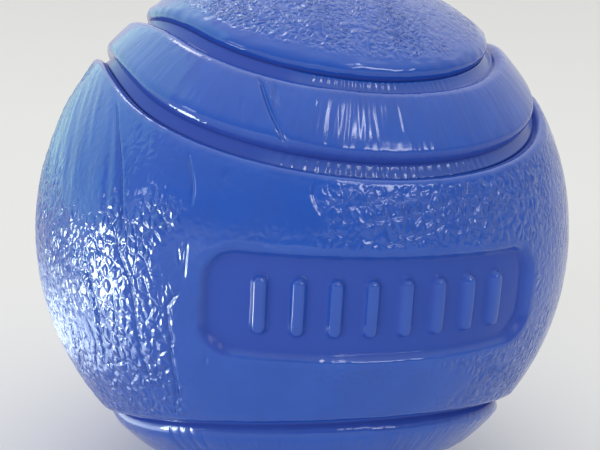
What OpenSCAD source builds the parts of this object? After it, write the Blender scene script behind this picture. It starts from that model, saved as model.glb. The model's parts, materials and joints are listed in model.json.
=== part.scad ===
// Bouncy rubber ball laid out like a tennis ball: a hollow core of two bonded halves, two dog-bone cover
// panels that wrap round each other, and a raised band between two grooves along their seam line. The band is
// widest over the middle of the panels' belts and narrower between them.
// The origin is the ball's centre, +Z is up, and the belt of the front panel faces -Y.

/* [Ball] */
// Outside diameter, over the panels and the raised band
ball_d = 63; // [55:0.5:80]

/* [Seam line] */
// Angle at the ball's centre from the middle of a panel's end lobe to the seam line
lobe_angle = 40.5; // [38:0.5:42]
// Angle by which the middle of an end lobe lies past a quarter turn from its panel's middle
lobe_lean = 19.5; // [18:0.5:22]

/* [Seam band] */
// Width of the band's top, between its rounded shoulders
band_w = 4.8; // [3:0.1:6.5]
// Width of each rounded shoulder of the band
shoulder_w = 1.1; // [0.6:0.1:2]
// Width of each groove's floor, from the band's shoulder to the panel's edge
floor_w = 1.4; // [0.6:0.1:2.4]
// Depth of the grooves below the ball's surface
groove_depth = 1.25; // [0.5:0.05:1.4]
// Share of those widths that is left midway between two turns, where the band is narrowest
band_waist = 0.72; // [0.5:0.02:1]

/* [Cover] */
// Thickness of the two cover panels
cover_t = 2.5; // [2:0.1:4]
// Bevel along the outer edges of the panels
edge_bevel = 0.3; // [0.1:0.05:0.6]

/* [Recessed field] */
// Width of the recessed field on the belt
field_w = 32; // [24:0.5:36]
// Height of the recessed field
field_h = 9.5; // [8:0.5:12]
// Corner radius of the recessed field
field_corner = 3; // [1:0.1:4]
// Depth of the field's floor below the ball's surface
field_depth = 0.9; // [0.5:0.05:1.4]
// Number of plain upright ribs on the field's floor
rib_count = 8; // [3:1:9]
// Width of each rib
rib_w = 1.4; // [0.8:0.1:1.8]
// Height of the ribs above the field's floor
rib_h = 0.7; // [0.3:0.05:1.2]
// Space from each end of the field to the nearest rib
rib_side_gap = 4; // [2:0.1:6]
// Space above and below the ribs
rib_end_gap = 2; // [1:0.1:2.5]

/* [Core] */
// Wall of the hollow core
core_wall = 4; // [3:0.1:8]
// Thickness of the lip on the lower half that the upper half laps over
lip_t = 1.8; // [1:0.1:2.4]
// Height of the lip above the bond ring
lip_h = 2.5; // [1:0.1:5]
// Thickness of the ring that bonds the rims of the two halves
bond_ring_t = 0.8; // [0.4:0.1:2]
// Film of cement between glued curved faces
cement_t = 0.05; // [0.03:0.01:0.15]

/* [Hidden] */
$fn = 144;
turn_steps = 8;
run_steps = 12;
shoulder_steps = 4;
rubber_blue = "#2f5fbe";
core_grey = "#4a4d52";

ball_r = ball_d / 2;
groove_r = ball_r - groove_depth;
cover_in_r = ball_r - cover_t;
core_r = cover_in_r - cement_t;
core_in_r = core_r - core_wall;
lip_r = core_in_r + lip_t;
rib_pitch = (field_w - 2 * rib_side_gap - rib_w) / (rib_count - 1);
rib_straight = field_h - 2 * rib_end_gap - rib_w;
// Reaches far outside the ball, where the sides of a panel's cutting cone end
side_reach = 4 * ball_r;
tip_reach = 10 * ball_r;

// Angle at the ball's centre that a length along the surface takes
function arc_angle(length) = length / ball_r * 180 / PI;
top_a = arc_angle(band_w / 2);
foot_a = top_a + arc_angle(shoulder_w);
flange_a = foot_a + arc_angle(floor_w);
cement_a = arc_angle(cement_t);
bevel_a = arc_angle(edge_bevel);

// The seam line is four turns, each a circle about the middle of a lobe, joined by four great-circle runs
// that touch the circles at both ends. All of it follows from the lobes' angle and lean.
lobe_gap = acos(-pow(sin(lobe_lean), 2));
run_half = acos(cos(lobe_gap / 2) / cos(lobe_angle));
turn_half = 90 + atan(sin(lobe_lean)) - acos(tan(lobe_angle) / tan(lobe_gap / 2));
turn_arc = turn_half * sin(lobe_angle);
quarter_arc = 2 * (turn_arc + run_half);
// Share of the section's width at an angle along a quarter of the seam
function narrowing(arc) = 1 - (1 - band_waist) * pow(sin(180 * arc / quarter_arc), 8);

// Directions from the ball's centre. A bearing goes round the upper lobe from the front, and side is the angle
// off the seam line, towards the front panel. The right lobe is the upper one half turned about the line
// between them, which swaps the sides.
function upper_turn(bearing, side) =
    let (a = lobe_angle + side, x = sin(a) * sin(bearing), y = -sin(a) * cos(bearing), z = cos(a))
    [x, y * cos(lobe_lean) - z * sin(lobe_lean), y * sin(lobe_lean) + z * cos(lobe_lean)];
function right_turn(bearing, side) = let (p = upper_turn(bearing, -side)) [p.z, -p.y, p.x];
run_start = upper_turn(turn_half, 0);
run_end = right_turn(turn_half, 0);
run_pole = cross(run_end, run_start) / norm(cross(run_end, run_start));
function run(share, side) =
    let (a = 2 * run_half, middle = sin((1 - share) * a) * run_start + sin(share * a) * run_end)
    cos(side) / sin(a) * middle + sin(side) * run_pole;

// A quarter of the seam, from the front over the upper right to the tip of the right lobe, and the whole loop.
// The side narrows along the quarter, and the gap is added to it unchanged.
function turn_side(share, side, gap) = side * narrowing(turn_arc * share) + gap;
function run_side(share, side, gap) = side * narrowing(turn_arc + 2 * run_half * share) + gap;
function quarter(side, gap) = concat(
    [for (i = [0:turn_steps - 1]) let (t = i / turn_steps) upper_turn(turn_half * t, turn_side(t, side, gap))],
    [for (i = [0:run_steps - 1]) let (t = i / run_steps) run(t, run_side(t, side, gap))],
    [for (i = [turn_steps:-1:0]) let (t = i / turn_steps) right_turn(turn_half * t, turn_side(t, side, gap))]
);
function flipped(p, x, z) = [x * p.x, p.y, z * p.z];
function seam_loop(side, gap) =
    let (q = quarter(side, gap), last = len(q) - 1)
    concat(
        q,
        [for (i = [last - 1:-1:0]) flipped(q[i], 1, -1)],
        [for (i = [1:last]) flipped(q[i], -1, -1)],
        [for (i = [last - 1:-1:1]) flipped(q[i], -1, 1)]
    );
loop_len = 4 * (2 * turn_steps + run_steps);

// Sections across the seam are lists of [radius, side, gap]. Quarter-ellipse shoulders rise from the groove's floor
// to the band's top. The band's underside is flat from step to step, so it is raised to clear the core's curve.
function shoulder(step) =
    let (t = 90 * step / shoulder_steps)
    [groove_r + groove_depth * sin(t), top_a + (foot_a - top_a) * cos(t), 0];
step_a = max(turn_half / turn_steps * sin(lobe_angle + flange_a), 2 * run_half / run_steps);
seat_r = cover_in_r / cos(step_a / 2) / cos(flange_a / 2);
band_half = concat(
    [[seat_r, flange_a, 0], [groove_r, flange_a, 0]],
    [for (i = [0:shoulder_steps]) shoulder(i)]
);
band_section = concat(
    [[seat_r, 0, 0]],
    band_half,
    [[ball_r, 0, 0]],
    [for (i = [len(band_half) - 1:-1:0]) [band_half[i][0], -band_half[i][1], 0]]
);
panel_section = [
    [ball_r - edge_bevel, flange_a, cement_a],
    [ball_r + edge_bevel, flange_a, cement_a + 2 * bevel_a],
    [side_reach, flange_a, cement_a + 2 * bevel_a]
];

function rings(section) = [for (p = section) each p[0] * seam_loop(p[1], p[2])];
// Two triangles for each step along the seam, between rings a and b
function strip(a, b) = [
    for (i = [0:loop_len - 1])
        let (j = (i + 1) % loop_len, a0 = a * loop_len, b0 = b * loop_len)
        each [[a0 + i, a0 + j, b0 + j], [a0 + i, b0 + j, b0 + i]]
];
// A triangle for each step along the seam, from ring a to a single point
function fan(a, point) = [for (i = [0:loop_len - 1]) [a * loop_len + i, a * loop_len + (i + 1) % loop_len, point]];
function reversed(faces) = [for (f = faces) [f[2], f[1], f[0]]];

// Closed section carried round the whole seam
module along_seam(section) {
    count = len(section);
    polyhedron(rings(section), [for (i = [0:count - 1]) each strip(i, (i + 1) % count)]);
}

// Everything inside the front panel's edge, out from the ball's centre
module front_side() {
    last = len(panel_section) - 1;
    centre = len(panel_section) * loop_len;
    faces = concat(
        reversed(fan(0, centre)),
        [for (i = [0:last - 1]) each strip(i, i + 1)],
        fan(last, centre + 1)
    );
    polyhedron(concat(rings(panel_section), [[0, 0, 0], [0, -tip_reach, 0]]), faces);
}

module cover_shell() {
    difference() {
        sphere(ball_r);
        sphere(cover_in_r);
    }
}

// Flat outlines on the belt, carried straight back from the front to the ball's middle
module from_front() {
    rotate([90, 0, 0]) linear_extrude(ball_d) children();
}

module round_plate(width, height, corner) {
    square([width, height - 2 * corner], center = true);
    square([width - 2 * corner, height], center = true);
    for (x = [-1, 1], y = [-1, 1])
        translate([x * (width / 2 - corner), y * (height / 2 - corner)]) circle(corner);
}

module upright_rib() {
    square([rib_w, rib_straight], center = true);
    for (end = [-1, 1]) translate([0, end * rib_straight / 2]) circle(d = rib_w);
}

module field_ribs() {
    intersection() {
        sphere(ball_r - field_depth + rib_h);
        from_front()
            for (i = [0:rib_count - 1]) translate([(i - (rib_count - 1) / 2) * rib_pitch, 0]) upright_rib();
    }
}

module field_recess() {
    difference() {
        from_front() round_plate(field_w, field_h, field_corner);
        sphere(ball_r - field_depth);
        field_ribs();
    }
}

module core_shell() {
    difference() {
        sphere(core_r);
        sphere(core_in_r);
    }
}

module core_lower_half() {
    color(core_grey)
        intersection() {
            core_shell();
            union() {
                translate([0, 0, -ball_d]) cylinder(r = ball_r, h = ball_d - bond_ring_t / 2);
                translate([0, 0, -ball_r]) cylinder(r = lip_r - cement_t, h = ball_r + bond_ring_t / 2 + lip_h);
            }
        }
}

module core_upper_half() {
    color(core_grey)
        difference() {
            core_shell();
            translate([0, 0, -ball_d]) cylinder(r = ball_r, h = ball_d + bond_ring_t / 2);
            cylinder(r = lip_r, h = bond_ring_t / 2 + lip_h + cement_t);
        }
}

module core_bond_ring() {
    color(core_grey)
        intersection() {
            core_shell();
            difference() {
                cylinder(r = ball_r, h = bond_ring_t, center = true);
                cylinder(r = lip_r, h = 2 * bond_ring_t, center = true);
            }
        }
}

module front_panel() {
    color(rubber_blue)
        difference() {
            intersection() {
                cover_shell();
                front_side();
            }
            field_recess();
        }
}

module rear_panel() {
    color(rubber_blue)
        intersection() {
            cover_shell();
            rotate(180, [1, 0, 1]) front_side();
        }
}

module seam_band() {
    color(rubber_blue) along_seam(band_section);
}

core_lower_half();
core_upper_half();
core_bond_ring();
front_panel();
rear_panel();
seam_band();
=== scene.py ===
import json

import bmesh
import bpy
import numpy as np
from mathutils import Matrix


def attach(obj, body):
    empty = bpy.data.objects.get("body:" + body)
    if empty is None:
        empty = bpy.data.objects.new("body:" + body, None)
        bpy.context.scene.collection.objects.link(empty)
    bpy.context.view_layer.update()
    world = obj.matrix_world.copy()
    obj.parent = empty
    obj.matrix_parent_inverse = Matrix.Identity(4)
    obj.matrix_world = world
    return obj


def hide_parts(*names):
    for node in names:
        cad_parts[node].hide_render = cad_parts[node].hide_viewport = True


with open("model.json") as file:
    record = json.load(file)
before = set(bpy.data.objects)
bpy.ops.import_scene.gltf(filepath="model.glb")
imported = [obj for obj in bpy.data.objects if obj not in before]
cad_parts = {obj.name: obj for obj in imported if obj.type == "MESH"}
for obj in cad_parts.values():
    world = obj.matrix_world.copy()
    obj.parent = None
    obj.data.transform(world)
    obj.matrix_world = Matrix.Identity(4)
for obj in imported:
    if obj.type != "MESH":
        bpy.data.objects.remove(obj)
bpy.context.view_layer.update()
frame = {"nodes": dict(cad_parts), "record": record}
mm = 0.001                   # shapes are worked out in millimetres and written in metres
ballRadius = frame["record"]["mounts"][0]["dims"]["r_mm"]
print("frame loaded: ball radius", ballRadius, "mm")


def linear(hexColour):
    # sRGB hex to linear light: ((c + 0.055) / 1.055) ^ 2.4, or c / 12.92 where c is dark
    c = np.array([int(hexColour[i:i + 2], 16) for i in (1, 3, 5)]) / 255
    return (*np.where(c > 0.04045, ((c + 0.055) / 1.055) ** 2.4, c / 12.92), 1.0)


def addNode(tree, kind, inputs, out=0, **settings):
    # one node with its settings and one of its outputs: an input gets a value, or a link where that is an output
    node = tree.nodes.new(kind)
    for name, value in settings.items():
        setattr(node, name, value)
    for name, value in inputs.items():
        if isinstance(value, bpy.types.NodeSocket):
            tree.links.new(value, node.inputs[name])
        else:
            node.inputs[name].default_value = value
    return node.outputs[out] if node.outputs else node


def ease(low, high, x):
    # 0 below low, 1 above high, and the curve t t (3 - 2 t) between them
    t = np.clip((x - low) / (high - low), 0, 1)
    return t * t * (3 - 2 * t)


def cellNumbers(cell, seed):
    # whole-number places of cubes in space and a seed, mixed by multiplying and shifting into three numbers 0 to 1
    h = (cell * (374761393, 668265263, 1440662683)).sum(-1) + seed * 3266489917
    h = h & 0xFFFFFFFF
    h = ((h ^ (h >> 13)) * 1274126177) & 0xFFFFFFFF
    h = ((h ^ (h >> 15)) * 2246822519) & 0xFFFFFFFF
    h = h ^ (h >> 16)
    return np.stack([h & 1023, (h >> 10) & 1023, (h >> 20) & 1023], -1) / 1023


def softNoise(p, size, seed):
    # random heights on a lattice size mm apart, blended by the ease curve between its eight corners: 0 to 1
    q = p / size
    base = np.floor(q).astype(np.int64)
    f = q - base
    f = f * f * (3 - 2 * f)
    height = np.zeros(q.shape[:-1])
    for corner in np.ndindex(2, 2, 2):
        weight = np.where(corner, f, 1 - f).prod(-1)
        height += weight * cellNumbers(base + corner, seed)[..., 0]
    return height


def pebbleCells(p, size, loose, seed):
    # one random point in each cube of size mm: how much further the next point is than the nearest, in cubes,
    # which is 0 along the valleys between pebbles, and a random number of the nearest point's own
    q = p / size
    base = np.floor(q).astype(np.int64)
    near = np.full(q.shape[:-1], 9.0)        # further than any point
    second = near.copy()
    own = np.zeros(q.shape[:-1])
    for offset in np.ndindex(3, 3, 3):
        cell = base + offset - 1
        numbers = cellNumbers(cell, seed)
        d = np.linalg.norm(cell + 0.5 + loose * (numbers - 0.5) - q, axis=-1)
        closer = d < near
        second = np.where(closer, near, np.minimum(second, d))
        own = np.where(closer, numbers[..., 1], own)
        near = np.where(closer, d, near)
    return second - near, own


def gridMesh(name, points, marks, uv=None):
    # points[i, j] is a closed ring j at station i along the piece, in mm: quads join each ring to the next,
    # and the last ring to the first where uv gives the piece as a loop; marks are numbers kept for each point
    count, ring = points.shape[:2]
    loop = uv is not None
    i, j = np.meshgrid(np.arange(count if loop else count - 1), np.arange(ring), indexing="ij")
    nextI, nextJ = (i + 1) % count, (j + 1) % ring
    quads = np.stack([i * ring + j, nextI * ring + j, nextI * ring + nextJ, i * ring + nextJ], -1).reshape(-1, 4)
    mesh = bpy.data.meshes.new(name)
    mesh.from_pydata(points.reshape(-1, 3) * mm, [], quads)
    for mark, values in marks.items():
        mesh.attributes.new(mark, "FLOAT", "POINT").data.foreach_set("value", values.astype(np.float32).ravel())
    if loop:
        # u runs along the piece and v across it, in mm, and go on past the end where the rings meet
        along, across = uv
        u = np.append(along[0], along[1])[np.stack([i, i + 1, i + 1, i], -1)]
        v = np.append(across, across[-1])[np.stack([j, j, j + 1, j + 1], -1)]
        mesh.uv_layers.new(name="surface").data.foreach_set("uv", np.stack([u, v], -1).ravel())
    # the first and last ring of a panel close to a point, and faces look outward
    bm = bmesh.new()
    bm.from_mesh(mesh)
    bmesh.ops.remove_doubles(bm, verts=bm.verts, dist=1e-7)
    if bm.calc_volume(signed=True) < 0:
        bmesh.ops.reverse_faces(bm, faces=bm.faces)
    bm.to_mesh(mesh)
    bm.free()
    mesh.polygons.foreach_set("use_smooth", np.ones(len(mesh.polygons), bool))
    piece = bpy.data.objects.new(name, mesh)
    bpy.context.scene.collection.objects.link(piece)
    print(name, "made:", sum(len(p.vertices) - 2 for p in mesh.polygons), "triangles")
    return piece


# Creases left where the rubber folded in the mould: sizes in mm
folds = {
    "fade": 1.3,             # length over which a crease runs out at its ends
    "stub": 0.15,            # taken as left of that length at the very end
    "near": 0.3, "far": 0.55,                # a crease is marked in full up to near, and not past far
    "limit": 1.2,            # largest distance that is kept
    "panelWidth": 0.38, "bandWidth": 0.4,    # half width of the dent on a panel and on the band
}


def creaseMarks(flat, lines):
    # for points on a flat map in mm and lines of (depth, points on that map): the distance to the nearest line,
    # positive on its left, and the depth of that line, which fades towards the line's ends and away from it
    nearest = np.full(flat.shape[:-1], 9.0)
    signed, strength = nearest.copy(), np.zeros(flat.shape[:-1])
    for depth, line in lines:
        line = np.array(line)
        steps = np.diff(line, axis=0)
        lengths = np.linalg.norm(steps, axis=1)
        before = np.cumsum(lengths) - lengths
        for start, step, length, done in zip(line, steps, lengths, before):
            off = flat - start
            along = np.clip(off @ step / length ** 2, 0, 1)
            away = np.linalg.norm(off - along[..., None] * step, axis=-1)
            closer = away < nearest
            ends = done + along * length
            fade = ease(0, folds["fade"], np.minimum(ends, lengths.sum() - ends) + folds["stub"])
            side = np.sign(step[0] * off[..., 1] - step[1] * off[..., 0])
            signed = np.where(closer, away * side, signed)
            strength = np.where(closer, depth * fade * ease(folds["far"], folds["near"], away), strength)
            nearest = np.where(closer, away, nearest)
    return np.clip(signed, -folds["limit"], folds["limit"]), strength


# The seam line and the section across it, as on the solids
seam = {
    "lobeAngle": 40.5,       # degrees from the middle of an end lobe to the seam line
    "lobeLean": 19.5,        # degrees that the middle of a lobe lies past a quarter turn
    "bandTop": 4.8,          # mm across the band's top
    "shoulder": 1.1,         # mm across each rounded shoulder of the band
    "grooveFloor": 1.4,      # mm across each groove's floor
    "grooveDepth": 1.25,     # mm below the ball's surface
    "waist": 0.72,           # share of those widths left midway between two turns
    "cement": 0.05,          # mm between the band's flange and a panel
    "coverThickness": 2.5,   # mm
}
lobeAngle, lobeLean = np.radians(seam["lobeAngle"]), np.radians(seam["lobeLean"])
lobeGap = np.arccos(-np.sin(lobeLean) ** 2)
runHalf = np.arccos(np.cos(lobeGap / 2) / np.cos(lobeAngle))
turnHalf = np.pi / 2 + np.arctan(np.sin(lobeLean)) - np.arccos(np.tan(lobeAngle) / np.tan(lobeGap / 2))
topAngle = seam["bandTop"] / 2 / ballRadius
footAngle = topAngle + seam["shoulder"] / ballRadius
flangeAngle = footAngle + seam["grooveFloor"] / ballRadius
cementAngle = seam["cement"] / ballRadius
innerRadius = ballRadius - seam["coverThickness"]


def lobeTurn(bearing, side):
    # circle of angle lobeAngle + side about the middle of the upper lobe, bearing from the front
    a = lobeAngle + side
    x, y, z = np.sin(a) * np.sin(bearing), -np.sin(a) * np.cos(bearing), np.cos(a) + 0 * bearing
    c, s = np.cos(lobeLean), np.sin(lobeLean)
    return np.stack([x, y * c - z * s, y * s + z * c], -1)


runStart = lobeTurn(turnHalf, 0.0)
runEnd = runStart[[2, 1, 0]] * (1, -1, 1)
runPole = np.cross(runEnd, runStart)
runPole /= np.linalg.norm(runPole)
runOn = np.cross(runStart, runPole)
turnArc, runArc = turnHalf * np.sin(lobeAngle), 2 * runHalf
quarterArc = 2 * turnArc + runArc


def narrowing(arc):
    # share of the section's width at an angle along the seam: 1 - (1 - waist) sin^8, least midway along a quarter
    return 1 - (1 - seam["waist"]) * np.sin(np.pi * arc / quarterArc) ** 8


def seamQuarter(t, side):
    # directions along a quarter of the seam, t from 0 at the front over the top to 1 at the right lobe's tip, and
    # side radians off it towards the front panel: a turn, a great-circle run, and the turn about the right lobe
    t, side = np.broadcast_arrays(t, side)
    d = t * quarterArc
    last = d > turnArc + runArc
    turn = lobeTurn(np.where(last, quarterArc - d, d) / np.sin(lobeAngle), np.where(last, -side, side))
    turn = np.where(last[..., None], turn[..., [2, 1, 0]] * (1, -1, 1), turn)
    share = (d - turnArc)[..., None]
    run = (np.sin(runArc - share) * runStart + np.sin(share) * runEnd) / np.sin(runArc)
    run = np.cos(side)[..., None] * run + np.sin(side)[..., None] * runPole
    return np.where(((d < turnArc) | last)[..., None], turn, run)


def seamLoop(u, side):
    # the whole seam, u from 0 to 4 quarters: each quarter is the first one mirrored in x, in z or in both
    u, side = np.broadcast_arrays(u % 4, side)
    t = np.where(u % 2 < 1, u % 1, 1 - u % 1)
    signs = np.stack([np.where(u < 2, 1, -1), np.ones_like(u), np.where((u > 1) & (u < 3), -1, 1)], -1)
    return seamQuarter(t, side) * signs


def edgeDistance(d):
    # mm from a panel's edge into the panel, for directions d in the front panel's frame: the angle off the nearest
    # turn or run of the seam, with the other three quarters folded on to the first
    d = d * np.where(np.arange(3) == 1, 1, np.sign(d) + (d == 0))
    c, s = np.cos(lobeLean), np.sin(lobeLean)
    upper = np.arccos(np.clip(d @ (0, -s, c), -1, 1))
    right = np.arccos(np.clip(d @ (c, s, 0), -1, 1))
    upperBearing = np.arctan2(d[..., 0], -(d[..., 1] * c + d[..., 2] * s))
    rightBearing = np.arctan2(d[..., 2], d[..., 1] * c - d[..., 0] * s)
    side = np.arcsin(np.clip(d @ runPole, -1, 1))
    arc = turnArc + np.arctan2(d @ runOn, d @ runStart)
    for bearing, off in ((rightBearing, lobeAngle - right), (upperBearing, upper - lobeAngle)):
        turning = np.abs(bearing) < turnHalf
        side = np.where(turning, off, side)
        arc = np.where(turning, np.abs(bearing) * np.sin(lobeAngle), arc)
    return (side - flangeAngle * narrowing(arc) - cementAngle) * ballRadius


def stationsAlong(low, high, count, favour, closed=False):
    # places from low to high, closer together where favour is larger
    even = np.linspace(low, high, 8001)      # many more than the places
    spent = np.cumsum(favour(even))
    return np.interp(np.linspace(spent[0], spent[-1], count, endpoint=not closed), spent, even)


# Pebble grain of the cover panels, cut into the mould: sizes in mm
grain = {
    "pebble": 1.15,          # usual pebble
    "loose": 0.8,            # how far pebbles stray from even rows
    "upright": 0.75,         # height squeezed by this before the pebbles are laid out, so that they stand upright
    "bend": 0.5, "bendSize": 1.6,            # wandering of their outlines
    "dome": 0.5, "flattest": 0.62,           # share of a pebble that is rounded, and least height of a pebble
    "depth": 0.09,           # of the valleys between pebbles
    "wave": 0.05, "waveSize": 5.0,           # slow unevenness of the moulded skin
    "frontRim": 0.8, "rearRim": 1.3,         # rounding along the edges of the front and rear panels
    "frontDrop": 0.6, "rearDrop": 0.95,      # height of that rounding
    "rimUneven": 1.4, "rimLeast": 0.8, "rimMore": 0.4,             # length of its unevenness, and shares of its width
    "frontRipple": 0.05, "rearRipple": 0.09,           # ripple along those edges
    "frontRippleSize": 0.7, "rearRippleSize": 0.9,     # its length
    "frontRippleEnd": (1.3, 0.7), "rearRippleEnd": (2.4, 1.2),     # distance from the edge with none and all of it
    "frontBorder": (0.5, 1.2), "rearBorder": (1.3, 2.8),           # smooth strip along those edges, from and to
    "frontShade": 0.2, "rearShade": 0.08,    # painted shade, greyer and duller, in a strip along those edges
    "furrow": 0.17, "furrowSize": 0.8, "furrowStretch": 0.1,       # soft upright furrows on the front panel
    "furrowLeft": (-38, -46), "furrowUp": (8, 20),     # longitudes and latitudes with none and all of them
    "furrowEdge": (0.3, 2),  # distance from the edge with none and all of them
    "patch": 9.0, "patchFrom": 0.3, "patchTo": 0.55, "patchLeast": 0.55,   # weaker patches of the rear panel's grain
}
# Smoother places on the front panel: longitude, latitude, half width, half height in degrees, share of the grain left
smoothPlaces = (
    (-24, 2, 13.5, 44, 0.10),
    (-14, -24, 23, 13.5, 0.10),
    (6, -15, 14, 5, 0.15),
    (-54, 29, 31, 19, 0.15),
    (64, 5, 32, 45, 0.28),
)
smoothEdge = {"from": 0.8, "to": 1.1, "ragged": 0.45, "size": 3.5}    # shares of those half widths, and mm
# Creases on the front panel: depth in mm, then longitudes and latitudes in degrees
panelCreases = (
    (0.14, [(-56.9, 30.4), (-52.8, 25.1), (-49.8, 20.2), (-48.2, 16.6), (-46.5, 10.8), (-45.9, 8.9)]),
    (0.13, [(-46.9, 8.1), (-46.4, 5.3), (-43.7, 0.8), (-42.9, -3.0), (-42.5, -7.2), (-42.3, -11.6), (-41.0, -17.2)]),
    (0.11, [(-35.6, 23.2), (-33.9, 19.2), (-33.4, 17.5), (-33.2, 14.3)]),
    (0.08, [(-39.4, 14.7), (-38.0, 12.3), (-37.2, 10.8), (-36.5, 9.7)]),
    (0.10, [(-35.1, 8.9), (-34.5, 6.5), (-34.0, 4.6)]),
    (0.10, [(-33.3, 9.9), (-33.3, 6.0), (-33.4, 2.3)]),
    (0.12, [(-54.5, 1.3), (-52.9, -2.1), (-52.0, -4.2), (-51.6, -7.4), (-51.9, -11.2), (-52.0, -14.5),
            (-50.8, -18.2)]),
    (0.13, [(-33.9, 0.9), (-35.3, -0.5), (-36.4, -2.0), (-36.2, -4.4), (-35.6, -7.8), (-36.0, -9.7), (-35.7, -15.8),
            (-35.8, -17.8), (-36.2, -21.1)]),
    (0.10, [(-62.0, -10.7), (-62.5, -16.3), (-64.6, -24.0)]),
    (0.08, [(-55.0, -8.6), (-53.7, -12.5), (-56.5, -20.2)]),
    (0.08, [(-29.4, -8.5), (-29.7, -12.1)]),
    (0.06, [(-22.5, -4.0), (-22.7, -6.1)]),
    (0.07, [(-28.0, 21.3), (-28.1, 19.7), (-27.2, 18.4)]),
    (0.08, [(-52.3, 7.8), (-51.7, 5.2), (-50.2, 2.9)]),
    (0.09, [(-13.2, 20.6), (-13.4, 18.0), (-12.6, 16.0), (-11.6, 14.4)]),
)


def grainDepth(p, seed):
    # depth of the pebble grain at points p: valleys where two pebbles are equally near
    stray = np.stack([softNoise(p, grain["bendSize"], seed + k) for k in (1, 2, 3)], -1) - 0.5
    bent = p + grain["bend"] * stray
    gap, own = pebbleCells(bent * (1, 1, grain["upright"]), grain["pebble"], grain["loose"], seed)
    dome = 1 - (1 - np.clip(gap / grain["dome"], 0, 1)) ** 2
    return grain["depth"] * (1 - dome * (grain["flattest"] + (1 - grain["flattest"]) * own))


# Recessed field on the belt with plain upright ribs: sizes in mm, as on the solids
field = {
    "width": 32.0, "height": 9.5, "corner": 3.0, "depth": 0.9,
    "ribs": 8, "ribWidth": 1.4, "ribHeight": 0.7, "sideGap": 4.0, "endGap": 2.0,
    "ribFoot": 1.2, "ribCrown": 0.5,         # where a rib's side starts and ends, in half widths
    "lip": 0.2, "softness": 0.75,            # start and rounding of the walls
    "ripple": 0.12, "rippleSize": 0.6,       # unevenness of the rim
    "rimMiddle": 0.05, "rimEnd": (0.7, 0.3), # place of that rim, and distance from it with none and all of the ripple
    "margin": (0.1, 1.3),    # smooth skin round the field, from and to
    "shade": 0.85,           # painted shade on the floor: how much greyer and duller it is
    "cornerReach": (-0.5, 1.5), "cornerMiddle": 0.3, "cornerEnd": (0.8, 0.45),   # painted shade on the walls at the lower corners, greyer and duller
}


def fieldShape(p):
    # distance outside a rounded rectangle seen from the front, the drop into it over a soft wall less the ribs' rise
    # by the distance to the nearest rib's middle line, and the lower corners' walls, which get painted shade
    x, z = p[..., 0], p[..., 2]
    halfX, halfZ = field["width"] / 2 - field["corner"], field["height"] / 2 - field["corner"]
    outX, outZ = np.abs(x) - halfX, np.abs(z) - halfZ
    outside = np.hypot(np.maximum(outX, 0), np.maximum(outZ, 0)) + np.minimum(np.maximum(outX, outZ), 0)
    outside = np.where(p[..., 1] < 0, outside - field["corner"], 99.0)       # the ball's back is far outside it
    drop = field["depth"] * ease(field["lip"], field["lip"] - field["softness"], outside)
    pitch = (field["width"] - 2 * field["sideGap"] - field["ribWidth"]) / (field["ribs"] - 1)
    middle = (field["ribs"] - 1) / 2
    nearest = (np.clip(np.round(x / pitch + middle), 0, field["ribs"] - 1) - middle) * pitch
    straight = field["height"] / 2 - field["endGap"] - field["ribWidth"] / 2
    away = np.hypot(x - nearest, np.maximum(np.abs(z) - straight, 0)) / (field["ribWidth"] / 2)
    rise = field["ribHeight"] * ease(field["ribFoot"], field["ribCrown"], away) * (outside < 0)
    corner = ease(*field["cornerReach"], outX) * ease(*field["cornerReach"], outZ) * (z < 0)
    corner = corner * ease(*field["cornerEnd"], np.abs(outside + field["cornerMiddle"]))
    return outside, drop - rise, corner


# Cover panels: dog bones worked out between an upper edge and its mirror image below
panels = {
    "stations": 655,         # along a panel, from lobe tip to lobe tip
    "across": 134,           # over the top, from edge to edge
    "under": 8,              # over the underside
    "wall": 4,               # down each edge
    "favour": 1.5, "frontFrom": (-0.6, -0.4), "frontTo": (0.45, 0.3), "rearFrom": (0.2, 0.5),    # closer stations there
    "even": 0.6,             # share of even steps across, the rest being denser at the edges
    "wallDrop": 0.01,        # mm that a wall starts below the rim
}


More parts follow.
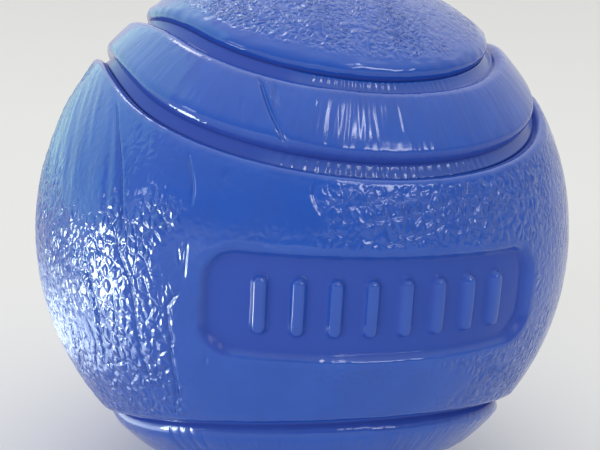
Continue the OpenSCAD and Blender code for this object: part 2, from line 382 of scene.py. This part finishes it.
def panelGrid(seed, front):
    # station t follows the upper edge from the left tip (-1) to the right tip (1), closer together on the side that
    # faces the front; v goes along the meridian of that point from the lower edge (-1) to the upper one (1); rings go
    # over the top, down the upper wall, back under and up the lower wall
    own = "front" if front else "rear"
    t = stationsAlong(-1, 1, panels["stations"], lambda t: 1 + panels["favour"] * (
        ease(*panels["frontFrom"], t) * ease(*panels["frontTo"], t) if front else ease(*panels["rearFrom"], t)))
    edge = seamQuarter(np.abs(t), flangeAngle * narrowing(t * quarterArc) + cementAngle)
    edge = edge * np.stack([np.sign(t) + (t == 0), np.ones_like(t), np.ones_like(t)], -1)
    longitude = np.arctan2(edge[:, 0], -edge[:, 1])
    reach = np.arcsin(np.clip(edge[:, 2], 0, 1))
    reach[[0, -1]] = 0
    k = np.linspace(-1, 1, panels["across"])
    v = panels["even"] * k + (1 - panels["even"]) * np.sin(np.pi / 2 * k)

    def outward(share):
        latitude = reach[:, None] * share
        lon = longitude[:, None] + 0 * latitude
        return np.stack([np.cos(latitude) * np.sin(lon), -np.cos(latitude) * np.cos(lon), np.sin(latitude)], -1)

    d = outward(v)
    inward = np.maximum(edgeDistance(d), 0)
    inward[:, [0, -1]] = 0
    inward[[0, -1]] = 0
    place = d * ballRadius
    if not front:
        place = place[..., [2, 1, 0]] * (1, -1, 1)
    amount = ease(*grain[own + "Border"], inward)
    signed, strength, sunk = np.ones_like(inward), np.zeros_like(inward), np.zeros_like(inward)
    furrow = np.zeros_like(inward)
    if front:
        # smooth places fade out over an uneven edge, and creases and furrows lie on a map of the panel in mm
        lat, lon = reach[:, None] * v, longitude[:, None] + 0 * v
        ragged = smoothEdge["ragged"] * (softNoise(place, smoothEdge["size"], seed + 5) - 0.5)
        for lonMiddle, latMiddle, wide, high, left in smoothPlaces:
            out = np.hypot((np.degrees(lon) - lonMiddle) / wide, (np.degrees(lat) - latMiddle) / high) + ragged
            amount = amount * (left + (1 - left) * ease(smoothEdge["from"], smoothEdge["to"], out))
        flat = np.stack([lon * np.cos(lat), lat], -1) * ballRadius
        lines = [(depth, [(np.radians(x) * np.cos(np.radians(y)) * ballRadius, np.radians(y) * ballRadius)
                          for x, y in line]) for depth, line in panelCreases]
        signed, strength = creaseMarks(flat, lines)
        tall = np.stack([flat[..., 0], grain["furrowStretch"] * flat[..., 1], 0 * lat], -1)
        here = ease(*grain["furrowLeft"], np.degrees(lon)) * ease(*grain["furrowUp"], np.degrees(lat))
        furrow = grain["furrow"] * softNoise(tall, grain["furrowSize"], seed + 8) * here
        furrow = furrow * ease(*grain["furrowEdge"], inward)
    else:
        patch = ease(grain["patchFrom"], grain["patchTo"], softNoise(place, grain["patch"], seed + 5))
        amount = amount * (grain["patchLeast"] + (1 - grain["patchLeast"]) * patch)
    ripple = grain[own + "Ripple"] * softNoise(place, grain[own + "RippleSize"], seed + 7)
    furrow = furrow + ripple * ease(*grain[own + "RippleEnd"], inward)
    wave = grain["wave"] * softNoise(place, grain["waveSize"], seed + 4) * ease(0, 1, inward)
    depth = grainDepth(place, seed) * amount + wave
    depth += strength * ease(folds["panelWidth"], 0.0, np.abs(signed)) + furrow
    if front:
        outside, drop, corner = fieldShape(place)
        margin = ease(*field["margin"], outside)
        depth, amount, strength = depth * margin + drop, amount * margin, strength * margin
        ripple = field["ripple"] * softNoise(place, field["rippleSize"], seed + 9)
        depth += ripple * ease(*field["rimEnd"], np.abs(outside - field["rimMiddle"]))
        # painted shade on the recess floor and on the walls at its lower corners
        sunk = np.maximum(field["shade"] * drop / field["depth"], corner)
    # rounded rim: a quarter ellipse, wider in some places than in others
    rim, rimDrop = grain[own + "Rim"], grain[own + "Drop"]
    uneven = rim * (grain["rimLeast"] + grain["rimMore"] * softNoise(place, grain["rimUneven"], seed + 6))
    fall = np.clip(1 - inward / uneven, 0, 1)
    depth += rimDrop * (1 - np.sqrt(1 - fall ** 2))
    top = d * (ballRadius - depth)[..., None]
    down = np.linspace(1, 0, panels["wall"] + 1)[1:-1, None]
    low = ballRadius - rimDrop - panels["wallDrop"]
    wallUp = outward(np.ones(1)) * (innerRadius + down * (low - innerRadius))
    wallDown = outward(-np.ones(1)) * (innerRadius + down[::-1] * (low - innerRadius))
    under = outward(np.linspace(1, -1, panels["under"])) * innerRadius
    rings = np.concatenate([top, wallUp, under, wallDown], 1)
    rest = ((0, 0), (0, rings.shape[1] - top.shape[1]))
    # painted shade mark: a strip along the edges, the recess floor and its lower corners, and all of the walls and
    # underside
    hollow = np.maximum(ease(grain[own + "Shade"], 0, inward), sunk)
    marks = {
        "grain": np.pad(amount, rest), "crease": np.pad(signed, rest, constant_values=1),
        "creaseDepth": np.pad(strength, rest), "hollow": np.pad(hollow, rest, constant_values=1),
    }
    return rings if front else rings[..., [2, 1, 0]] * (1, -1, 1), marks


# Raised band between the grooves, a section carried once round the seam: sizes in mm, and places along the seam from
# its front above the belt, positive to the right, in mm or in quarters of the seam (its front below the belt is at 2)
band = {
    "stations": 1560, "topSteps": 24, "shoulderSteps": 10, "floorSteps": 6, "underSteps": 4,
    "favour": 2, "nearFrom": (-0.5, -0.4), "nearTo": (0.35, 0.25),   # closer stations between these quarters
    "seat": 0.02,            # underside above the core
    "rounding": 0.5, "roundingFrom": (-4, -10),        # reach of the shoulders' curve into the top, on the left half
    "frontSag": 0.15, "rearSag": 0.2,        # rise of a groove's floor towards the front and the rear panel
    "ripple": 0.02, "rippleSizes": (0.8, 2.3),         # lines across the band from the mould
    "slant": -0.16, "stretch": 0.12,         # lean of those lines, and how far they are drawn out
    "lined": (-7.0, 3.0), "linedFade": 3, "linedLow": (1.75, 1.85),  # mm and quarters where they are plainest
    "linedLeast": 0.35, "linedFloor": 0.3,   # share of them elsewhere, and on the floors
    "wave": 0.05, "waveSize": 4.0,           # slow unevenness
    "ragged": 0.06, "raggedSize": 0.75,      # unevenness of the shoulders and of the top's edges
    "raggedEdge": 0.7, "raggedWidth": 0.45,  # share of it at an edge, and its reach there
    "raggedFrom": (-8, -5),  # end of the left half's even shoulder towards the front panel
    "raggedLow": 0.8, "raggedLowFrom": (1.7, 1.8),     # share added below the belt, and its quarters
    "hatch": 0.085, "hatchPitch": 0.85,      # short ridges across the grooves' floors
    "hatched": (-8.0, 9.0), "hatchFade": 2,  # where they are plainest
    "hatchRear": 0.6, "hatchTop": 0.35,      # share of them towards the rear panel, and their end on a shoulder
    "hatchSway": 1.2, "hatchSwaySize": 3.0,  # unevenness of their pitch
    "hatchLeast": 0.35, "hatchUneven": 1.1,  # least share of their height, and length of its unevenness
    "foot": 0.7, "footLeast": 0.3, "footFloor": 0.22,  # painted shade, greyer and duller, in a strip up a shoulder's foot: its reach, its least, and on the floor
    "footLeft": 0.25, "footLeftFrom": (-6, -10),       # taken off that strip on the left half
    "footLow": 0.4, "footLowFrom": (1.3, 1.6),         # taken off it below the belt, and its quarters
    "dullFrom": (-8, -12), "dullTo": (-1.5, -1.2),     # mm and quarters between which the floors carry painted shade
    "dullSide": 0.92,        # start of that painted shade on a shoulder, as a share of the angle to its foot
}
# Creases on the band, the last four of them below the belt: depth in mm, then mm along the seam from its front above
# the belt and mm across it towards the front panel
bandCreases = (
    (0.16, [(-12.9, -2.5), (-11.98, -1.76), (-10.37, 0.38), (-9.16, 1.87), (-8.44, 2.8), (-8.12, 3.3)]),
    (0.12, [(-11.2, -2.6), (-10.53, -1.59), (-10.05, -0.71), (-9.56, -0.22)]),
    (0.05, [(-13.3, -0.3), (-12.1, 2.4)]),
    (0.12, [(-142.1, 3.8), (-142.3, -1.2)]),
    (0.09, [(-143.3, 3.8), (-143.7, -0.6)]),
    (0.12, [(-144.5, 3.8), (-144.6, -1.2)]),
    (0.08, [(-146.0, 3.6), (-145.8, 0.4)]),
)


def within(span, fade, x):
    # 1 from the start to the end of a span, and 0 beyond fade mm on either side of it
    return ease(span[0] - fade, span[0], x) * ease(span[1] + fade, span[1], x)


def bandGrid(seed):
    # section: flange floors at the groove's depth, quarter-ellipse shoulders up to the ball's surface, and the top;
    # its underside lies on the core
    length = quarterArc * ballRadius
    along = stationsAlong(-2, 2, band["stations"], lambda u: 1 + band["favour"] * (
        ease(*band["nearFrom"], u) * ease(*band["nearTo"], u)), True)[:, None]
    u, low = along * length, np.abs(along)
    turn = np.linspace(0, np.pi / 2, band["shoulderSteps"] + 1)
    grooveRadius = ballRadius - seam["grooveDepth"]
    edge = topAngle - band["rounding"] / ballRadius * ease(*band["roundingFrom"], u)
    floorSide = np.linspace(flangeAngle, footAngle, band["floorSteps"] + 1)[:-1]
    half = np.concatenate([
        floorSide + 0 * along,
        edge + (footAngle - edge) * np.cos(turn),
        edge * np.linspace(1, 0, band["topSteps"] // 2 + 1)[1:],
    ], 1)
    radius = np.concatenate([
        np.full(floorSide.size, grooveRadius),
        grooveRadius + seam["grooveDepth"] * np.sin(turn),
        np.full(band["topSteps"] // 2, ballRadius),
    ])
    side = np.concatenate([half, -half[:, -2::-1]], 1)
    radius = np.concatenate([radius, radius[-2::-1]])
    floorShare = np.maximum(np.abs(side) - footAngle, 0) / (flangeAngle - footAngle)
    radius = radius + np.where(side > 0, band["frontSag"], band["rearSag"]) * floorShare ** 3
    underSide = np.linspace(-flangeAngle, flangeAngle, band["underSteps"])
    narrow = narrowing(along * quarterArc)
    d = seamLoop(along, side * narrow)
    place = d * ballRadius
    raised = ease(grooveRadius, ballRadius, radius) * (np.abs(side) < footAngle)
    flat = np.stack(np.broadcast_arrays(u, side * narrow * ballRadius), -1)

    # lines across the band, drawn out and leaning a little, plainest at the front above and below the belt
    line = flat @ ((1, 0, 0), (band["slant"], band["stretch"], 0))
    lined = np.maximum(within(band["lined"], band["linedFade"], u), ease(*band["linedLow"], low))
    lined = band["linedLeast"] + (1 - band["linedLeast"]) * lined
    fine, coarse = [softNoise(line, size, seed + k) for k, size in enumerate(band["rippleSizes"])]
    depth = band["ripple"] * (fine + coarse) * (band["linedFloor"] + (1 - band["linedFloor"]) * raised) * lined
    depth += band["wave"] * softNoise(place, band["waveSize"], seed + 2)

    # uneven shoulders: most at half height, and about the top's edges
    ragged = np.where(side > 0, ease(*band["raggedFrom"], u), 1)
    fromEdge = (np.abs(side) - edge) * ballRadius / band["raggedWidth"]
    ragged = ragged * np.maximum(4 * raised * (1 - raised), band["raggedEdge"] * np.exp(-fromEdge ** 2))
    ragged = band["ragged"] * ragged * softNoise(place, band["raggedSize"], seed + 6)
    depth += ragged * (1 + band["raggedLow"] * ease(*band["raggedLowFrom"], low))
    signed, strength = creaseMarks(flat, bandCreases)
    strength = strength * raised
    depth += strength * ease(folds["bandWidth"], 0.0, np.abs(signed))

    # ridges across the floors: a wave along the seam, uneven in pitch and height
    sway = band["hatchSway"] * softNoise(line, band["hatchSwaySize"], seed + 3)
    plain = within(band["hatched"], band["hatchFade"], u) * np.where(side > 0, 1, band["hatchRear"])
    uneven = band["hatchLeast"] + (1 - band["hatchLeast"]) * softNoise(line, band["hatchUneven"], seed + 5)
    wave = np.sin(2 * np.pi * (flat[..., 0] / band["hatchPitch"] + sway))
    depth += band["hatch"] * plain * uneven * (0.5 - 0.5 * wave) * (1 - ease(0, band["hatchTop"], raised))

    # painted shade, greyer and duller, where a shoulder meets the floor, and along the floors at the left
    reach = band["foot"] - band["footLeft"] * ease(*band["footLeftFrom"], u)
    reach = reach - band["footLow"] * ease(*band["footLowFrom"], low)
    reach = np.where(np.abs(side) < footAngle, np.maximum(reach, band["footLeast"]), band["footFloor"])
    foot = np.exp(-((np.abs(side) - footAngle) * ballRadius / reach) ** 2)
    left = ease(*band["dullFrom"], u) * ease(*band["dullTo"], along)
    left = left * ease(band["dullSide"] * footAngle, footAngle, np.abs(side))
    hollow = np.maximum(foot, left)

    top = d * (radius - depth)[..., None]
    under = seamLoop(along, underSide * narrow) * (innerRadius + band["seat"])
    points = np.concatenate([top, under], 1)
    across = np.concatenate([side[0], underSide]) * ballRadius
    rest = ((0, 0), (0, underSide.size))
    marks = {
        "grain": np.pad(raised * lined, rest), "crease": np.pad(signed, rest, constant_values=1),
        "creaseDepth": np.pad(strength, rest), "hollow": np.pad(hollow, rest, constant_values=1),
    }
    return points, marks, ((u[:, 0], 2 * length), across)


frontPanel = gridMesh("front_panel_rubber", *panelGrid(11, True))
rearPanel = gridMesh("rear_panel_rubber", *panelGrid(47, False))
seamBand = gridMesh("seam_band_rubber", *bandGrid(83))

# Finishes: sizes in mm
rubber = {
    # the hollow colour is painted shade: a greyer blue mixed in where shade falls in grooves, on walls and at edges
    "blue": "#1752b8", "deep": "#154db1", "hollow": "#3c56b0", "core": "#4a4d52",
    "roughness": 0.14, "coreRoughness": 0.6, "roughnessSpread": 0.03, "ior": 1.6,
    "cloud": 4, "cloudFrom": 0.3, "cloudTo": 0.7,      # clouding between blue and deep
    "skin": 0.3, "skinDepth": 0.003,         # faint orange peel
    "foldWidth": 0.24, "foldShare": 0.55,    # sharp middle of a crease, and its share of the crease's depth
    "frontPebble": 0.88, "rearPebble": 0.66, # pebbles in the skin
    "pebbleDepth": 0.105, "pebbleUpright": 0.78, "pebbleRandom": 0.9, "pebbleRound": 0.36,
    "fineShare": 0.5, "fineDepth": 0.008,    # grains of half that size between them
    "sway": 1.1, "swaySize": 2.2,            # wandering of their outlines
    "patch": 5, "patchFrom": 0.35, "patchTo": 0.65, "patchLeast": 0.55, "patchMost": 1.3,   # uneven depth
    "lineWidth": 0.45, "lineReach": 3.0, "lineDepth": 0.07, "lineLean": -0.16,     # lines across the band,
    "broadLine": 2.6, "broadReach": 5.0, "broadDepth": 1.5,    # and broader ones, in their widths and depths
    "shine": 0.5, "hollowShine": 0.06,       # strength of the reflections on the skin, and in the painted shade of the hollows
}


def mouldedRubber(name, colour, roughness, pebble=0, lines=0):
    # moulded thermoplastic rubber: one dense colour with slight clouding, with painted shade in the hollows (a greyer
    # colour and duller reflections), and a glossy skin that copies the mould, so that pebbles of the given size or
    # lines of the given width break up the reflections into glints
    material = bpy.data.materials.new(name)
    material.use_nodes = True
    tree = material.node_tree
    tree.nodes.clear()
    soft = {"interpolation_type": "SMOOTHSTEP"}
    place = addNode(tree, "ShaderNodeTexCoord", {}, "Object")
    cloud = addNode(tree, "ShaderNodeTexNoise", {
        "Vector": place, "Scale": 1000 / rubber["cloud"], "Detail": 3.0}, "Fac")
    cloud = addNode(tree, "ShaderNodeMapRange", {
        "Value": cloud, "From Min": rubber["cloudFrom"], "From Max": rubber["cloudTo"]}, **soft)
    tint = addNode(tree, "ShaderNodeMix", {
        0: cloud, 6: linear(colour), 7: linear(rubber["deep"])}, 2, data_type="RGBA")
    skin = addNode(tree, "ShaderNodeTexNoise", {
        "Vector": place, "Scale": 1000 / rubber["skin"], "Detail": 2.0}, "Fac")
    height = addNode(tree, "ShaderNodeMath", {0: skin, 1: rubber["skinDepth"]}, operation="MULTIPLY")
    gloss = addNode(tree, "ShaderNodeMapRange", {
        "Value": cloud, "To Min": roughness - rubber["roughnessSpread"],
        "To Max": roughness + rubber["roughnessSpread"]})
    surface = {"IOR": rubber["ior"], "Roughness": gloss}
    if pebble or lines:
        # the piece's own marks: painted shade in the hollows, and creases with a sharp middle
        hollow, crease, creaseDepth, grainShare = [
            addNode(tree, "ShaderNodeAttribute", {}, "Fac", attribute_name=mark)
            for mark in ("hollow", "crease", "creaseDepth", "grain")]
        # painted shade: the greyer blue is mixed in, and the reflections dulled, by the hollow mark
        tint = addNode(tree, "ShaderNodeMix", {
            0: hollow, 6: tint, 7: linear(rubber["hollow"])}, 2, data_type="RGBA")
        surface["Specular IOR Level"] = addNode(tree, "ShaderNodeMapRange", {
            "Value": hollow, "To Min": rubber["shine"], "To Max": rubber["hollowShine"]}, **soft)
        away = addNode(tree, "ShaderNodeMath", {0: crease}, operation="ABSOLUTE")
        fold = addNode(tree, "ShaderNodeMapRange", {
            "Value": away, "From Max": rubber["foldWidth"], "To Min": rubber["foldShare"], "To Max": 0.0}, **soft)
        fold = addNode(tree, "ShaderNodeMath", {0: fold, 1: creaseDepth}, operation="MULTIPLY")
        height = addNode(tree, "ShaderNodeMath", {0: height, 1: fold}, operation="SUBTRACT")
    if pebble:
        # rounded cells with wandering outlines, deeper in some patches than in others
        sway = addNode(tree, "ShaderNodeTexNoise", {
            "Vector": place, "Scale": 1000 / rubber["swaySize"], "Detail": 2.0}, "Color")
        sway = addNode(tree, "ShaderNodeVectorMath", {0: sway, 1: (0.5, 0.5, 0.5)}, operation="SUBTRACT")
        sway = addNode(tree, "ShaderNodeVectorMath", {0: sway, "Scale": rubber["sway"] * mm}, operation="SCALE")
        bent = addNode(tree, "ShaderNodeVectorMath", {0: place, 1: sway}, operation="ADD")
        bent = addNode(tree, "ShaderNodeVectorMath", {
            0: bent, 1: (1, 1, rubber["pebbleUpright"])}, operation="MULTIPLY")
        patch = addNode(tree, "ShaderNodeTexNoise", {"Vector": place, "Scale": 1000 / rubber["patch"]}, "Fac")
        patch = addNode(tree, "ShaderNodeMapRange", {
            "Value": patch, "From Min": rubber["patchFrom"], "From Max": rubber["patchTo"],
            "To Min": rubber["patchLeast"], "To Max": rubber["patchMost"]}, **soft)
        amount = addNode(tree, "ShaderNodeMath", {0: grainShare, 1: patch}, operation="MULTIPLY")
        for size, depth in ((pebble, rubber["pebbleDepth"]), (pebble * rubber["fineShare"], rubber["fineDepth"])):
            gap = addNode(tree, "ShaderNodeTexVoronoi", {
                "Vector": bent, "Scale": 1000 / size, "Randomness": rubber["pebbleRandom"]}, "Distance",
                feature="DISTANCE_TO_EDGE")
            dome = addNode(tree, "ShaderNodeMapRange", {
                "Value": gap, "From Max": rubber["pebbleRound"], "To Max": depth}, **soft)
            dome = addNode(tree, "ShaderNodeMath", {0: dome, 1: amount}, operation="MULTIPLY")
            height = addNode(tree, "ShaderNodeMath", {0: height, 1: dome}, operation="ADD")
    if lines:
        # u along the band and v across it, in mm: noise drawn out across the band and leaning a little
        flat = addNode(tree, "ShaderNodeUVMap", {}, "UV", uv_map="surface")
        for width, reach, depth in (
            (lines, rubber["lineReach"], rubber["lineDepth"]),
            (lines * rubber["broadLine"], rubber["broadReach"], rubber["lineDepth"] * rubber["broadDepth"]),
        ):
            drawn = addNode(tree, "ShaderNodeMapping", {
                "Vector": flat, "Rotation": (0, 0, rubber["lineLean"]), "Scale": (1 / width, 1 / reach, 1)})
            ridge = addNode(tree, "ShaderNodeTexNoise", {"Vector": drawn, "Scale": 1.0, "Detail": 0.0}, "Fac")
            ridge = addNode(tree, "ShaderNodeMath", {0: ridge, 1: depth}, operation="MULTIPLY")
            ridge = addNode(tree, "ShaderNodeMath", {0: ridge, 1: grainShare}, operation="MULTIPLY")
            height = addNode(tree, "ShaderNodeMath", {0: height, 1: ridge}, operation="ADD")
    surface["Base Color"] = tint
    surface["Normal"] = addNode(tree, "ShaderNodeBump", {"Strength": 1.0, "Distance": mm, "Height": height})
    shader = addNode(tree, "ShaderNodeBsdfPrincipled", surface)
    addNode(tree, "ShaderNodeOutputMaterial", {"Surface": shader})
    return material


frontRubber = mouldedRubber("moulded blue rubber, pebbled", rubber["blue"], rubber["roughness"],
                            pebble=rubber["frontPebble"])
rearRubber = mouldedRubber("moulded blue rubber, finely pebbled", rubber["blue"], rubber["roughness"],
                           pebble=rubber["rearPebble"])
bandRubber = mouldedRubber("moulded blue rubber, lined", rubber["blue"], rubber["roughness"], lines=rubber["lineWidth"])
coreRubber = mouldedRubber("moulded core rubber", rubber["core"], rubber["coreRoughness"])

for piece, node, slot, material in (
    (frontPanel, "front_panel", "panel_rubber", frontRubber),
    (rearPanel, "rear_panel", "panel_rubber", rearRubber),
    (seamBand, "seam_band", "band_rubber", bandRubber),
):
    piece.data.materials.append(material)
    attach(piece, "root")
    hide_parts(node)
for node in ("core_lower_half", "core_upper_half", "core_bond_ring"):
    mesh = frame["nodes"][node].data
    mesh.materials.clear()
    mesh.materials.append(coreRubber)
print("materials set")

# Pale round floor that rises gently all round, so that no horizon shows, and the room's light: sizes in mm
studio = {
    "floor": "#e6e6e6", "floorRoughness": 0.95,
    "flat": 500, "edge": 2600, "rise": 400, "steps": 40, "sides": 96,
    "low": 0.34, "high": 1.45,               # brightness of the room in front and overhead
    "highTowards": (0.0, 0.42, 0.90),
    "room": "#f8f8f6",
}


def floorDish():
    # height rise ((r - flat) / (edge - flat))^2 beyond the flat middle, turned about the ball's own axis
    r = np.concatenate([[0], np.linspace(studio["flat"], studio["edge"], studio["steps"])])
    z = studio["rise"] * (np.maximum(r - studio["flat"], 0) / (studio["edge"] - studio["flat"])) ** 2 - ballRadius
    a = np.linspace(0, 2 * np.pi, studio["sides"], endpoint=False)[:, None]
    points = np.stack([r * np.cos(a), r * np.sin(a), z + 0 * a], -1).reshape(-1, 3) * mm
    n = r.size
    i, j = np.meshgrid(np.arange(studio["sides"]), np.arange(n - 1), indexing="ij")
    k = (i + 1) % studio["sides"]
    quads = np.stack([i * n + j, i * n + j + 1, k * n + j + 1, k * n + j], -1).reshape(-1, 4)
    mesh = bpy.data.meshes.new("floor")
    mesh.from_pydata(points, [], quads)
    mesh.polygons.foreach_set("use_smooth", np.ones(len(quads), bool))
    floor = bpy.data.objects.new("floor", mesh)
    bpy.context.scene.collection.objects.link(floor)
    material = bpy.data.materials.new("matt pale paper")     # one flat pale tone with no shine
    material.use_nodes = True
    shader = material.node_tree.nodes["Principled BSDF"]
    shader.inputs["Base Color"].default_value = linear(studio["floor"])
    shader.inputs["Roughness"].default_value = studio["floorRoughness"]
    shader.inputs["Specular IOR Level"].default_value = 0.0
    mesh.materials.append(material)


floorDish()
print("floor laid")


def stand(name, data, towards, right, distance, aside=0.0, above=0.0):
    # a lamp or camera at a distance in mm from the ball's middle, turned to it, then moved aside and up in its own axes
    back = np.array(towards) / np.linalg.norm(towards)
    right = np.array(right) - np.dot(right, back) * back
    right /= np.linalg.norm(right)
    up = np.cross(back, right)
    place = (back * distance + right * aside + up * above) * mm
    holder = bpy.data.objects.new(name, data)
    holder.matrix_world = Matrix([*np.column_stack([right, up, back, place]).tolist(), [0, 0, 0, 1]])
    bpy.context.scene.collection.objects.link(holder)
    return holder


lamps = {
    # direction from the ball, distance, width and height in mm, brightness of its face, colour, and whether it shows
    # in reflections and lights matt surfaces
    "left window": ((-0.985, -0.12, -0.205), 85, 18, 33, 25.5, "#edfff3", True, False),
    "left high window": ((-0.955, -0.16, 0.20), 300, 28, 34, 5.0, "#f4fbff", True, False),
    "high front window": ((0.11, -0.63, 0.77), 300, 15, 66, 14.0, "#ffffff", True, False),
    "low front window": ((0.30, -0.80, 0.51), 300, 150, 42, 7.5, "#ffffff", True, False),
    "high left window": ((-0.24, 0.48, 0.84), 300, 60, 50, 7.0, "#ffffff", True, False),
    "high card": ((0.35, 0.25, 0.90), 500, 420, 420, 0.35, "#ffffff", True, False),
    "left sky": ((-0.70, 0.55, 0.32), 300, 380, 420, 0.7, "#89eebc", True, False),
    "left card": ((-0.87, 0.08, -0.48), 51, 50, 12, 2.0, "#e4f5ff", True, False),
    "left wide card": ((-0.89, 0.08, -0.42), 54, 66, 22, 1.2, "#d8f2ff", True, False),
    "left fill": ((-0.68, -0.68, 0.28), 1600, 1520, 640, 2.55, "#ffffff", False, True),
}
for name, (direction, distance, width, height, brightness, colour, shows, lights) in lamps.items():
    lamp = bpy.data.lights.new(name, "AREA")
    lamp.shape, lamp.size, lamp.size_y = "RECTANGLE", width * mm, height * mm
    lamp.energy = brightness * np.pi * width * height * mm * mm
    lamp.color = linear(colour)[:3]
    holder = stand(name, lamp, direction, np.cross((0, 0, 1), direction), distance)
    holder.visible_glossy, holder.visible_diffuse = shows, lights

# Room: brightness goes from low to high with the direction's share of highTowards
world = bpy.data.worlds.new("pale room")
world.use_nodes = True
tree = world.node_tree
looking = addNode(tree, "ShaderNodeTexCoord", {}, "Generated")
share = addNode(tree, "ShaderNodeVectorMath", {0: looking, 1: studio["highTowards"]}, "Value", operation="DOT_PRODUCT")
glow = addNode(tree, "ShaderNodeMapRange", {"Value": share, "To Min": studio["low"], "To Max": studio["high"]})
tree.nodes["Background"].inputs["Color"].default_value = linear(studio["room"])
tree.links.new(glow, tree.nodes["Background"].inputs["Strength"])
bpy.context.scene.world = world
print("lights set")

# Camera three radii from the ball's middle: sizes in mm
view = {
    "towards": (-0.249, -0.943, 0.222), "right": (0.969, -0.243, 0.054),
    "distance": 94.5, "aside": -0.24, "above": 0.26,
    "lens": 45.36, "sensor": 36.0, "clip": 5,
}
camera = bpy.data.cameras.new("camera")
camera.lens, camera.sensor_width, camera.clip_start = view["lens"], view["sensor"], view["clip"] * mm
bpy.context.scene.camera = stand("camera", camera, view["towards"], view["right"], view["distance"],
                                 view["aside"], view["above"])
bpy.context.scene.view_settings.view_transform = "Standard"
print("camera set")
